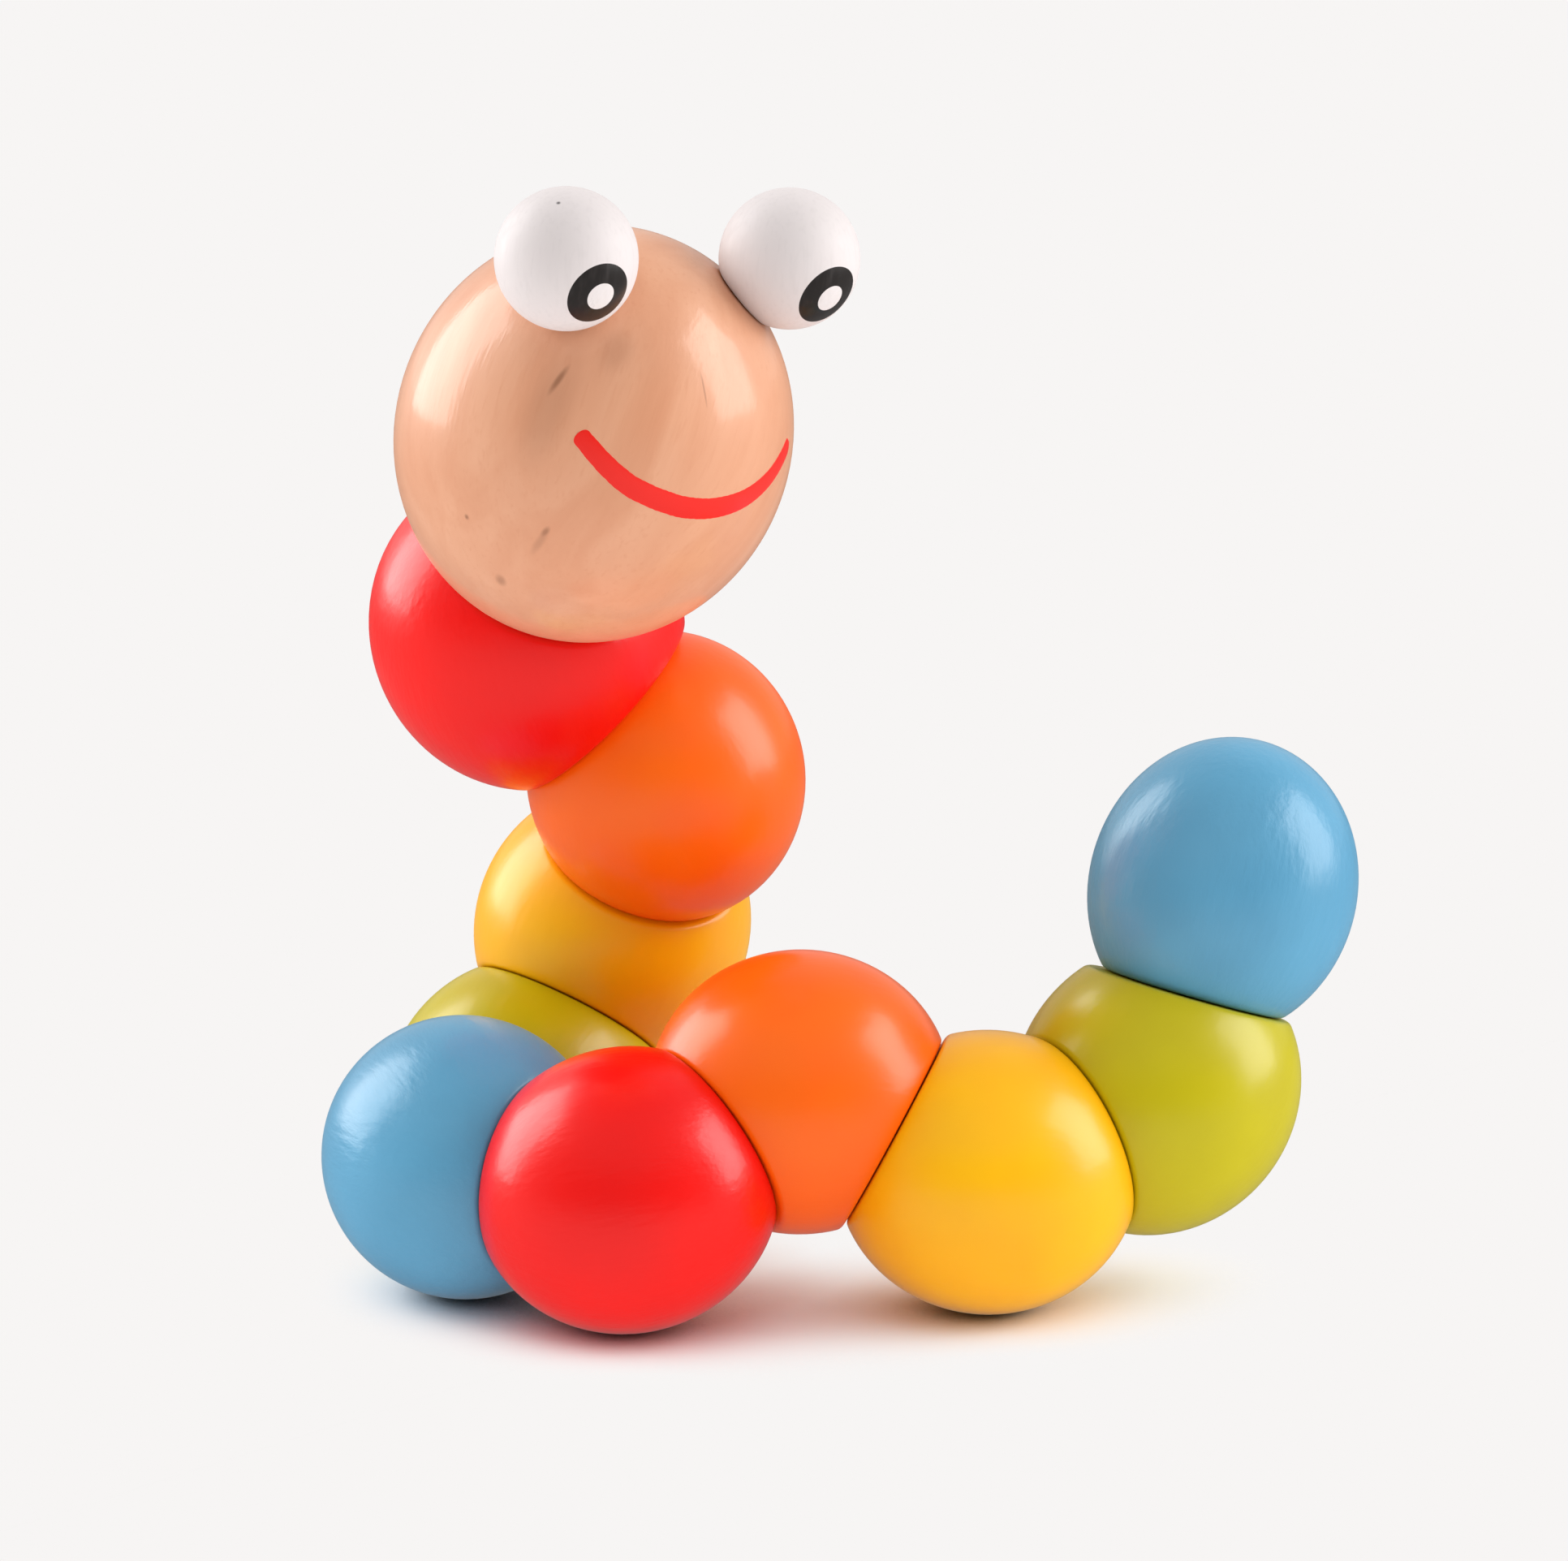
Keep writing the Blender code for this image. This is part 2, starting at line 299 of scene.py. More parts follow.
@dataclass(frozen=True)
class GlossPaint:
    """Gloss enamel sprayed on turned wood: even colour, soft broad highlights broken by grain and spray.

    Pitches, runs and depths are in millimetres, here and in the other finishes.
    """

    name: str
    slot: str
    coat: str
    deep: str
    roughness: Pair = (0.25, 0.37)
    ior: float = 1.42
    varnish: float = 0.06
    coat_roughness: float = 0.12
    grain_pitch: float = 0.8
    grain_run: float = 3.0
    grain_depth: float = 0.025
    grain_detail: float = 3.0
    peel_pitch: float = 2.2
    peel_depth: float = 0.016
    cloud_pitch: float = 13.0
    cloud_range: Pair = (0.35, 0.70)

    def material(self, piece: str, place: Matrix) -> Material:
        """Mixes the paint for one piece.

        Args:
            piece: The piece's name.
            place: The piece's frame; the grain runs along its Z.

        Returns:
            The material.
        """
        material, tree, shader = new_material(f"{self.name}_{piece}")
        local = own_frame(tree, place)
        grain = streaks(tree, local, self.grain_pitch, self.grain_run, self.grain_detail)
        peel = streaks(tree, local, self.peel_pitch, self.peel_pitch, detail=0.0)
        cloud = streaks(tree, local, self.cloud_pitch, self.cloud_pitch)
        share = add_node(tree, "MapRange", inputs={"Value": cloud} | span("From", self.cloud_range))
        shades = {"Factor": share, MIX_A: linear(self.coat), MIX_B: linear(self.deep)}
        colour = add_node(tree, "Mix", COLOUR_MIX, shades).outputs[MIX_RESULT]
        gloss = add_node(tree, "MapRange", inputs={"Value": cloud} | span("To", self.roughness))
        ridges = add_node(tree, "Bump", inputs={"Height": grain, "Distance": self.grain_depth * MM})
        skin = {"Height": peel, "Distance": self.peel_depth * MM, "Normal": ridges}
        relief = add_node(tree, "Bump", inputs=skin)
        paint = {"Base Color": colour, "Roughness": gloss, "Normal": relief, "IOR": self.ior}
        varnish = {"Coat Weight": self.varnish, "Coat Roughness": self.coat_roughness}
        fill_sockets(tree, shader, paint | varnish)
        return material


class Paint(Enum):
    """The five bead colours."""

    RED = GlossPaint("red_enamel", "red_paint", coat="F20B03", deep="EC0602", grain_depth=0.045)
    ORANGE = GlossPaint("orange_enamel", "orange_paint", coat="FE6A04", deep="FC6203")
    YELLOW = GlossPaint("yellow_enamel", "yellow_paint", coat="FEBD02", deep="FAB201")
    GREEN = GlossPaint("green_enamel", "green_paint", coat="C4B807", deep="BCAF04")
    BLUE = GlossPaint("blue_enamel", "blue_paint", coat="5DA0C3", deep="5597BA", grain_depth=0.07)


@dataclass(frozen=True)
class LacqueredWood:
    """Pale close-grained wood under clear gloss lacquer: warm bands along the grain, pores and dark marks.

    The pores are drawn coarser than real ones, so that they show.
    """

    name: str = "lacquered_wood"
    slot: str = "lacquered_wood"
    light: str = "E1A582"
    middle: str = "DC9D79"
    dark: str = "D6946F"
    mark: str = "7A4A2C"
    band_pitch: float = 7.0
    band_run: float = 60.0
    band_detail: float = 4.0
    band_waver: float = 0.6
    band_stops: Triple = (0.34, 0.52, 0.72)
    pore_pitch: float = 0.45
    pore_run: float = 5.0
    pore_range: Pair = (0.56, 0.80)
    pore_strength: float = 0.5
    pore_depth: float = 0.02
    gloss_range: Pair = (0.3, 0.7)
    roughness: Pair = (0.41, 0.52)
    ior: float = 1.40
    lacquer: float = 0.45
    coat_roughness: float = 0.15
    grain_tilt: float = 18.0
    marks: tuple[Mark, ...] = (
        Mark(-45.7, 21.6, width=0.45, length=2.2, tilt=28.0, strength=0.6),
        Mark(-47.6, 13.5, width=3.2, length=8.0, tilt=16.0, strength=0.2),
        Mark(-29.7, 30.5, width=2.2, length=3.0, tilt=20.0, strength=0.16),
        Mark(-73.9, -21.0, width=0.35, length=0.4, tilt=0.0, strength=0.6),
        Mark(-46.7, -21.5, width=0.45, length=0.9, tilt=35.0, strength=0.45),
        Mark(-48.7, -25.3, width=0.6, length=2.4, tilt=30.0, strength=0.25),
        Mark(-67.2, -42.4, width=0.8, length=1.1, tilt=15.0, strength=0.4),
        Mark(-3.4, 21.2, width=0.16, length=3.0, tilt=-8.0, strength=0.4),
    )

    def material(self, ball: Matrix, face: Matrix) -> Material:
        """Mixes the finish of the head.

        Args:
            ball: Turns a ball of radius 1 into the head.
            face: Frame of the face.

        Returns:
            The material.
        """
        material, tree, shader = new_material(self.name)
        local = own_frame(tree, face @ Matrix.Rotation(math.radians(self.grain_tilt), 4, "Y"))
        bands = streaks(tree, local, self.band_pitch, self.band_run, self.band_detail, self.band_waver)
        pores = streaks(tree, local, self.pore_pitch, self.pore_run)
        ramp = add_node(tree, "ValToRGB", inputs={"Fac": bands})
        stops = ramp.color_ramp.elements
        stops.new(self.band_stops[1])
        for stop, position, shade in zip(stops, self.band_stops, (self.light, self.middle, self.dark)):
            stop.position = position
            stop.color = linear(shade)
        ranges = {"Value": pores, "To Max": self.pore_strength} | span("From", self.pore_range)
        fleck = add_node(tree, "MapRange", inputs=ranges)
        shades = {"Factor": fleck, MIX_A: ramp, MIX_B: linear(self.dark)}
        colour = add_node(tree, "Mix", COLOUR_MIX, shades).outputs[MIX_RESULT]
        for mark in self.marks:
            colour = mark.draw(tree, colour, self.mark, ball, face)
        ends = span("From", self.gloss_range) | span("To", self.roughness)
        gloss = add_node(tree, "MapRange", inputs={"Value": bands} | ends)
        relief = add_node(tree, "Bump", inputs={"Height": pores, "Distance": self.pore_depth * MM})
        wood = {"Base Color": colour, "Roughness": gloss, "Normal": relief, "IOR": self.ior}
        coat = {"Coat Normal": relief, "Coat Weight": self.lacquer, "Coat Roughness": self.coat_roughness}
        fill_sockets(tree, shader, wood | coat)
        return material


@dataclass(frozen=True)
class EyeEnamel:
    """Enamel of the eyes: smooth satin white or black, with faint brush marks."""

    name: str
    coat: str
    worn: str
    roughness: Pair = (0.25, 0.38)
    gloss_range: Pair = (0.3, 0.7)
    gloss_level: float = 0.5
    ior: float = 1.5
    brush_pitch: float = 0.5
    brush_run: float = 4.0
    brush_depth: float = 0.008
    wear_range: Pair = (0.5, 0.75)
    wear_strength: float = 0.5
    mark: str = "3A3434"

    def material(self, piece: str, ball: Matrix, face: Matrix, marks: Sequence[Mark] = ()) -> Material:
        """Mixes the enamel for one eye.

        Args:
            piece: The piece's name.
            ball: Turns a ball of radius 1 into the eye.
            face: Frame of the face.
            marks: Dark flecks in the enamel.

        Returns:
            The material.
        """
        material, tree, shader = new_material(f"{self.name}_{piece}")
        place = face.copy()
        place.translation = ball.translation
        local = own_frame(tree, place)
        brush = streaks(tree, local, self.brush_pitch, self.brush_run)
        ranges = {"Value": brush, "To Max": self.wear_strength} | span("From", self.wear_range)
        wear = add_node(tree, "MapRange", inputs=ranges)
        shades = {"Factor": wear, MIX_A: linear(self.coat), MIX_B: linear(self.worn)}
        colour = add_node(tree, "Mix", COLOUR_MIX, shades).outputs[MIX_RESULT]
        for mark in marks:
            colour = mark.draw(tree, colour, self.mark, ball, face)
        ends = span("From", self.gloss_range) | span("To", self.roughness)
        gloss = add_node(tree, "MapRange", inputs={"Value": brush} | ends)
        relief = add_node(tree, "Bump", inputs={"Height": brush, "Distance": self.brush_depth * MM})
        enamel = {"Base Color": colour, "Roughness": gloss, "Normal": relief}
        shine = {"IOR": self.ior, "Specular IOR Level": self.gloss_level}
        fill_sockets(tree, shader, enamel | shine)
        return material


class EyePaint(Enum):
    """The enamels of an eye: the ball, the pupil and the dot in the pupil."""

    WHITE = EyeEnamel("white_enamel", coat="DAD2D1", worn="D2CAC9", roughness=(0.45, 0.58), gloss_level=0.2)
    BLACK = EyeEnamel("black_enamel", coat="26211F", worn="3A3331", roughness=(0.29, 0.42))
    DOT = EyeEnamel("pupil_white", coat="E0D9D8", worn="D8D1CF")


@dataclass(frozen=True)
class BareWood:
    """Unpainted turned wood of pins, dowels and bores: matt, with fine straight grain along the pin."""

    name: str = "bare_wood"
    light: str = "D9BC93"
    dark: str = "B98F60"
    roughness: float = 0.65
    grain_pitch: float = 0.4
    grain_run: float = 8.0
    grain_depth: float = 0.02
    grain_detail: float = 4.0

    def material(self, piece: str, place: Matrix) -> Material:
        """Mixes the wood for one piece.

        Args:
            piece: The piece's name.
            place: A frame with its Z along the grain.

        Returns:
            The material.
        """
        material, tree, shader = new_material(f"{self.name}_{piece}")
        local = own_frame(tree, place)
        grain = streaks(tree, local, self.grain_pitch, self.grain_run, self.grain_detail)
        shades = {"Factor": grain, MIX_A: linear(self.light), MIX_B: linear(self.dark)}
        colour = add_node(tree, "Mix", COLOUR_MIX, shades).outputs[MIX_RESULT]
        relief = add_node(tree, "Bump", inputs={"Height": grain, "Distance": self.grain_depth * MM})
        fill_sockets(tree, shader, {"Base Color": colour, "Roughness": self.roughness, "Normal": relief})
        return material


def pick(piece: Object) -> None:
    """Selects one piece alone and makes it active.

    Args:
        piece: The piece.
    """
    bpy.ops.object.select_all(action="DESELECT")
    bpy.context.view_layer.objects.active = piece
    piece.select_set(True)


@contextmanager
def editing(piece: Object) -> Iterator[None]:
    """Opens one piece in edit mode with all of it selected, and closes it afterwards.

    Args:
        piece: The mesh to shape.
    """
    pick(piece)
    bpy.ops.object.mode_set(mode="EDIT")
    bpy.ops.mesh.select_mode(type="VERT")
    bpy.ops.mesh.select_all(action="SELECT")
    yield
    bpy.ops.object.mode_set(mode="OBJECT")


def select_where(piece: Object, test: Callable[[Vector], bool]) -> None:
    """Selects the vertices of the open piece that pass a test of their place.

    Args:
        piece: The mesh in edit mode.
        test: Tells from a vertex's place whether it is taken.
    """
    shape = bmesh.from_edit_mesh(piece.data)
    for vert in shape.verts:
        vert.select = test(vert.co)
    shape.select_flush_mode()
    bmesh.update_edit_mesh(piece.data)


def apply_modifier(piece: Object, modifier: Modifier) -> None:
    """Applies one modifier of a piece."""
    pick(piece)
    bpy.ops.object.modifier_apply(modifier=modifier.name)


def smooth(piece: Object, angle: float = 32.0) -> None:
    """Shades a piece smooth, except across edges sharper than the angle in degrees."""
    pick(piece)
    bpy.ops.object.shade_smooth_by_angle(angle=math.radians(angle))


def turn_ball(
    name: str, segments: int, flat: float | None = None, rim: float = 0.0, rings: Sequence[float] = ()
) -> Object:
    """Turns a ball of radius 1 about Z, as on a lathe.

    Args:
        name: The piece's name.
        segments: Facets round the axis.
        flat: Height of a flat across +Z, or None for a whole ball.
        rim: Reach of the rounding on both sides of the flat's rim.
        rings: Heights at which the surface gets an edge of its own.

    Returns:
        The ball, at the origin.
    """
    bpy.ops.object.select_all(action="DESELECT")
    bpy.ops.mesh.primitive_circle_add(vertices=segments, radius=1.0, rotation=(math.pi / 2, 0, 0))
    ball = bpy.context.object
    ball.name = name
    ball.data.name = name
    bpy.ops.object.transform_apply(location=False, rotation=True, scale=False)
    with editing(ball):
        bpy.ops.mesh.bisect(plane_co=(0, 0, 0), plane_no=(1, 0, 0), clear_inner=True)
        for height in rings:
            bpy.ops.mesh.select_all(action="SELECT")
            bpy.ops.mesh.bisect(plane_co=(0, 0, height), plane_no=UP)
        if flat is not None:
            bpy.ops.mesh.select_all(action="SELECT")
            bpy.ops.mesh.bisect(plane_co=(0, 0, flat), plane_no=UP, clear_outer=True)
            # The corner at the flat gets room, a line to the axis and its rounding.
            top = max(bmesh.from_edit_mesh(ball.data).verts, key=lambda vert: vert.co.z)
            corner = top.co.copy()
            select_where(ball, lambda co: SAME_PLACE < (co - corner).length < RIM_ROOM * rim)
            bpy.ops.mesh.dissolve_verts()
            select_where(ball, lambda co: (co - corner).length < SAME_PLACE)
            bpy.ops.mesh.extrude_region_move(TRANSFORM_OT_translate={"value": (-corner.x, 0, 0)})
            select_where(ball, lambda co: (co - corner).length < SAME_PLACE)
            bpy.ops.mesh.bevel(offset=rim, segments=RIM_STEPS, affect="VERTICES")
        bpy.ops.mesh.select_all(action="SELECT")
        bpy.ops.mesh.spin(steps=segments, angle=2 * math.pi, center=(0, 0, 0), axis=UP)
        bpy.ops.mesh.select_all(action="SELECT")
        bpy.ops.mesh.remove_doubles(threshold=SAME_PLACE)
        bpy.ops.mesh.normals_make_consistent(inside=False)
    return ball


def drill(piece: Object, mouth: Vector, inwards: Vector, radius: float, depth: float) -> None:
    """Drills a round blind bore and gives its wall the piece's second finish.

    Args:
        piece: The solid to drill.
        mouth: Middle of the bore's mouth.
        inwards: Direction of the bore.
        radius: The bore's radius.
        depth: The bore's depth.
    """
    turn = (UP.rotation_difference(inwards) @ Quaternion(UP, BIT_TURN)).to_euler()
    bpy.ops.object.select_all(action="DESELECT")
    bpy.ops.mesh.primitive_cylinder_add(
        vertices=BIT_FACETS, radius=radius, depth=2 * depth, location=mouth, rotation=turn
    )
    bit = bpy.context.object
    boolean = piece.modifiers.new("Bore", "BOOLEAN")
    boolean.operation = "DIFFERENCE"
    boolean.solver = "EXACT"
    boolean.object = bit
    apply_modifier(piece, boolean)
    bpy.data.objects.remove(bit)
    for facet in piece.data.polygons:
        reach = facet.center - mouth
        height = reach.dot(inwards)
        near_axis = (reach - height * inwards).length < BORE_MARGIN * radius
        if near_axis and BORE_LIP < height < BORE_MARGIN * depth:
            facet.material_index = 1


@dataclass(frozen=True)
class Swivel:
    """A swivel: its pivot in the middle of the seam, and its axis towards the tail."""

    pivot: Vector
    axis: Vector


def swivels() -> list[Swivel]:
    """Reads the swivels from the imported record.

    Returns:
        The swivels, from head to tail.
    """
    joints = sorted(frame["joints"], key=lambda joint: joint["name"])
    pivots = [Vector(joint["pos_m"]) for joint in joints]
    found = []
    for index, joint in enumerate(joints):
        nearer = min(index, len(joints) - 2)
        axis = Vector(joint["axis"]).normalized()
        if axis.dot(pivots[nearer + 1] - pivots[nearer]) < 0:
            axis.negate()
        found.append(Swivel(pivots[index], axis))
    return found


@dataclass
class Bead:
    """A turned bead, cut by one or two flats, with bores for the pins.

    Vertices within the snap of the middle plane are laid on it, and halves are joined within the weld.
    """

    node: str
    body: str
    paint: Paint
    near: Swivel
    far: Swivel | None
    radius: float = 14.0 * MM
    stretch: float = 1.071
    flat_share: float = 0.657
    rim: float = 0.38 * MM
    segments: int = 112
    snap: float = 0.2 * MM
    weld: float = 0.002 * MM

    @property
    def half_length(self) -> float:
        """Half the ball's length along the chain."""
        return self.radius * self.stretch

    @property
    def flat(self) -> float:
        """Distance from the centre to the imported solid's flat."""
        return self.half_length * self.flat_share

    def place(self) -> Matrix:
        """Finds the bead's frame.

        Returns:
            The frame, with the chain along Z and the thin side of the wedge on X.
        """
        middle = self.near.pivot + (self.flat + FIT_GAP / 2) * self.near.axis
        if self.far is None:
            turn = turn_to(self.near.axis)
        else:
            side = self.near.axis.cross(self.far.axis).normalized()
            along = (self.near.axis + self.far.axis).normalized()
            turn = Matrix((side.cross(along), side, along)).transposed().to_4x4()
            middle += PIVOT_OFFSET * side.cross(self.near.axis)
        turn.translation = middle
        return turn

    def build(self) -> Object:
        """Turns the bead and cuts its flats with rounded rims.

        Returns:
            The bead, in its place.
        """
        name = self.node + "_bead"
        face = self.flat + FIT_GAP / 2 - SEAM / 2
        rim = self.rim / self.radius
        stretch = Matrix.Diagonal((self.radius, self.radius, self.half_length, 1.0))
        if self.far is None:
            ball = turn_ball(name, self.segments, face / self.half_length, rim)
            ball.data.transform(stretch @ Matrix.Rotation(math.pi, 4, "X"))
        else:
            half = self.near.axis.angle(self.far.axis) / 2
            pole = stretch.to_3x3() @ Vector((math.sin(half), 0, math.cos(half)))
            ball = turn_ball(name, self.segments, face / pole.length, rim)
            ball.data.transform(stretch @ turn_to(pole))
            with editing(ball):
                select_where(ball, lambda co: abs(co.z) < self.snap)
                bpy.ops.transform.resize(value=(1, 1, 0), center_override=(0, 0, 0))
                bpy.ops.mesh.select_all(action="SELECT")
                bpy.ops.mesh.bisect(plane_co=(0, 0, 0), plane_no=UP, clear_inner=True, threshold=CUT_REACH)
            mirror = ball.modifiers.new("Other flat", "MIRROR")
            mirror.use_axis = (False, False, True)
            mirror.merge_threshold = self.weld
            apply_modifier(ball, mirror)
        ball.data.transform(self.place())
        return ball

    def dress(self, ball: Object) -> None:
        """Paints the bead, drills it and hangs it on its body.

        Args:
            ball: The bead that build made.
        """
        place = self.place()
        ball.data.materials.append(self.paint.value.material(self.node, place))
        ball.data.materials.append(BareWood().material("bore_" + self.node, place))
        drill(ball, self.near.pivot, self.near.axis, JOURNAL_BORE, PIN_DEPTH)
        if self.far is not None:
            drill(ball, self.far.pivot, -self.far.axis, SHANK_BORE, PIN_DEPTH)
        smooth(ball)
        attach(ball, self.body)
        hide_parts(self.node)


class Side(Enum):
    """The two sides of the face, as seen by someone who looks at it.

    Each has its eye's place, in degrees right of straight ahead, and its gaze, in degrees right of and above
    straight ahead.
    """

    LEFT = (-29.7, 0.4, -23.4)
    RIGHT = (26.4, 8.4, -26.2)

    @property
    def split(self) -> float:
        """How far to the right the eye sits."""
        return self.value[0]

    @property
    def gaze(self) -> Vector:
        """Where the eye looks, in the face's frame."""
        return aim(*self.value[1:])


@dataclass
class Eye:
    """A white ball on the head with a round painted pupil.

    The left eye has a speck. A facet whose middle is over the pupil's rim, less the slack, is painted.
    """

    side: Side
    seat: Matrix
    face: Matrix
    radius: float = 6.8 * MM
    seat_radius: float = 3.8 * MM
    pupil_radius: float = 3.2 * MM
    dot_radius: float = 1.42 * MM
    segments: int = 96
    slack: float = 0.001 * MM
    speck: Mark = Mark(-51.4, 55.2, width=0.3, length=0.3, tilt=0.0, strength=0.85)

    @property
    def node(self) -> str:
        """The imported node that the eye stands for."""
        return "eye_" + self.side.name.lower()

    @property
    def gaze(self) -> Vector:
        """Where the eye looks, in the world."""
        return self.face.to_3x3() @ self.side.gaze

    @property
    def outwards(self) -> Vector:
        """The direction from the head to the eye."""
        return self.seat.to_3x3() @ UP

    def ball(self) -> Matrix:
        """Finds what turns a ball of radius 1 into the eye."""
        rise = math.sqrt(self.radius**2 - self.seat_radius**2) + FIT_GAP
        return Matrix.Translation(self.seat @ Vector((0, 0, rise))) @ Matrix.Scale(self.radius, 4)

    def rims(self) -> list[float]:
        """Lists the heights of the pupil's and the dot's rims over the middle, on a ball of radius 1."""
        return [math.sqrt(1 - (reach / self.radius) ** 2) for reach in (self.pupil_radius, self.dot_radius)]

    def build(self) -> Object:
        """Turns the ball round its gaze, with edges at the pupil's rims, and flattens its seat.

        Returns:
            The eye, in its place.
        """
        ball = turn_ball(self.node + "_ball", self.segments, rings=self.rims())
        ball.data.transform(self.ball() @ turn_to(self.gaze))
        foot = self.seat @ Vector((0, 0, SEAM))
        with editing(ball):
            bpy.ops.mesh.bisect(
                plane_co=foot, plane_no=self.outwards, clear_inner=True, use_fill=True, threshold=CUT_REACH
            )
        return ball

    def dress(self, ball: Object) -> None:
        """Paints the ball and its pupil, drills it and hangs it on the head.

        Args:
            ball: The eye that build made.
        """
        ball_frame = self.ball()
        white, black, dot = (paint.value for paint in EyePaint)
        marks = (self.speck,) if self.side is Side.LEFT else ()
        ball.data.materials.append(white.material(self.node, ball_frame, self.face, marks))
        ball.data.materials.append(BareWood().material("bore_" + self.node, self.seat))
        ball.data.materials.append(black.material(self.node, ball_frame, self.face))
        ball.data.materials.append(dot.material(self.node, ball_frame, self.face))
        gaze = self.gaze
        for index, rim in enumerate(self.rims(), start=2):
            for facet in ball.data.polygons:
                if (facet.center - ball_frame.translation).dot(gaze) > rim * self.radius - self.slack:
                    facet.material_index = index
        drill(ball, self.seat.translation, self.outwards, DOWEL_BORE, DOWEL_DEPTH_EYE)
        smooth(ball)
        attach(ball, "head")
        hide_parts(self.node)


@dataclass
class Smile:
    """The painted mouth: a stroke that follows the head, thicker in the middle, with round ends.

    Its path is in degrees right of and above straight ahead. Its edges are sunk a little into the wood.
    """

    ball: Matrix
    face: Matrix
    path: tuple[Pair, ...] = (
        (-38.7, 8.3),
        (-29.3, -0.8),
        (-20.1, -6.7),
        (-4.5, -11.3),
        (11.6, -10.4),
        (25.4, -4.8),
        (39.0, 4.8),
    )
    width: float = 2.3 * MM
    end_width: float = 1.8 * MM
    swell_power: float = 0.8
    height: float = 0.06 * MM
    sink: float = 0.01 * MM
    weld: float = 0.0005 * MM
    steps: int = 96
    lanes: int = 8
    paint: GlossPaint = GlossPaint(
        "smile_enamel", "red_paint", coat="F0251A", deep="E4170C", grain_depth=0.01, peel_depth=0.006
    )

    def middle(self, share: float) -> Matrix:
        """Finds a place on the stroke's middle line, a smooth curve through the points of the path.

        Args:
            share: How far along the stroke, from 0 to 1.

        Returns:
            A frame on the head, with -Y outwards.
        """
        last = len(self.path) - 1
        spot = share * last
        index = min(int(spot), last - 1)
        t = spot - index
        points = [self.path[min(max(index + k, 0), last)] for k in (-1, 0, 1, 2)]
        weights = (
            -0.5 * t + t**2 - 0.5 * t**3,
            1 - 2.5 * t**2 + 1.5 * t**3,
            0.5 * t + 2 * t**2 - 1.5 * t**3,
            -0.5 * t**2 + 0.5 * t**3,
        )
        lateral, lift = (sum(w * p[axis] for w, p in zip(weights, points)) for axis in (0, 1))
        return spot_on(self.ball, self.face, aim(lateral, lift))

    def ahead(self, share: float, step: float = 0.01) -> Vector:
        """Gives the way from just before a point of the middle line to just after it."""
        before, after = max(share - step, 0.0), min(share + step, 1.0)
        return self.middle(after).translation - self.middle(before).translation

    def half_width(self, share: float, length: float) -> float:
        """Gives half the stroke's width at a point.

        Args:
            share: How far along the stroke, from 0 to 1.
            length: The stroke's length.

        Returns:
            Half the width, round towards both ends.
        """
        swell = math.sin(math.pi * share) ** self.swell_power
        half = (self.end_width + (self.width - self.end_width) * swell) / 2
        room = min(share, 1 - share) * length
        if room >= half:
            return half
        return math.sqrt(max(half**2 - (half - room) ** 2, 0.0))

    def build(self) -> Object:
        """Lays a grid along the stroke, just proud of the head, and closes it to a thin film.

        Returns:
            The stroke, in its place.
        """
        bpy.ops.object.select_all(action="DESELECT")
        bpy.ops.mesh.primitive_grid_add(x_subdivisions=self.steps, y_subdivisions=self.lanes, size=1.0)
        stroke = bpy.context.object
        stroke.name = "smile"
        stroke.data.name = "smile"
        line = [self.middle(step / self.steps).translation for step in range(self.steps + 1)]
        length = sum((b - a).length for a, b in zip(line, line[1:]))
        to_unit = self.ball.inverted()
        to_normal = self.ball.to_3x3().inverted().transposed()
        for vert in stroke.data.vertices:
            # Steps are closer together near the round ends.
            share = 0.5 - 0.5 * math.cos(math.pi * min(max(vert.co.x + 0.5, 0.0), 1.0))
            across = 2 * vert.co.y
            place = self.middle(share)
            side = self.ahead(share).cross(place.to_3x3() @ Vector((0, 1, 0))).normalized()
            spot = place.translation + side * across * self.half_width(share, length)
            unit = (to_unit @ spot).normalized()
            proud = self.height * (1 - across**4) - self.sink
            vert.co = self.ball @ unit + proud * (to_normal @ unit).normalized()
        with editing(stroke):
            bpy.ops.mesh.remove_doubles(threshold=self.weld)
        film = stroke.modifiers.new("Film", "SOLIDIFY")
        film.thickness = self.height
        film.offset = -1.0
        apply_modifier(stroke, film)
        return stroke

    def dress(self, stroke: Object) -> None:
        """Paints the stroke and hangs it on the head.

        Args:
            stroke: The stroke that build made.
        """
        stroke.data.materials.append(self.paint.material("smile", self.middle(0.5)))
        smooth(stroke)
        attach(stroke, "head")


